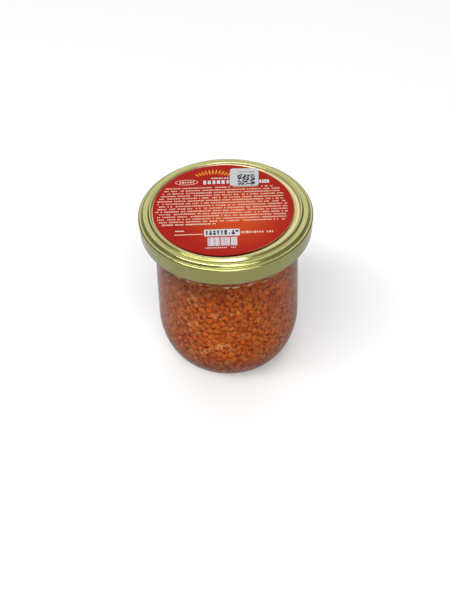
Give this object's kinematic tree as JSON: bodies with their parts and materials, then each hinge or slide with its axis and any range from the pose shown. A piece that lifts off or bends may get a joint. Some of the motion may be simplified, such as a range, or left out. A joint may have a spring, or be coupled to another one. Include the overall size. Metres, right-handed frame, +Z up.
{
  "type": "jar of salmon roe",
  "caption": "Round-bottomed clear glass jar filled with salmon roe, shut by a gold metal lid with a round red label and a small white code sticker.",
  "frame": {"origin": "middle of the jar's foot, on the surface that it stands on", "axes": "+Z up along the jar's axis; -Y is the side that the label's lines are read from"},
  "size_m": [0.086, 0.086, 0.0907],
  "materials": {
    "clear_glass": "clear smooth glass",
    "roe_eggs": "wet translucent orange eggs",
    "gold_lacquer": "gold lacquered tinplate",
    "label_paper": "printed satin label paper",
    "sticker_paper": "white sticker paper"
  },
  "bodies": {
    "root": {"jar_glass": "clear_glass", "roe": "roe_eggs", "lid": "gold_lacquer", "lid_label": "label_paper", "code_sticker": "sticker_paper"}
  },
  "joints": []
}
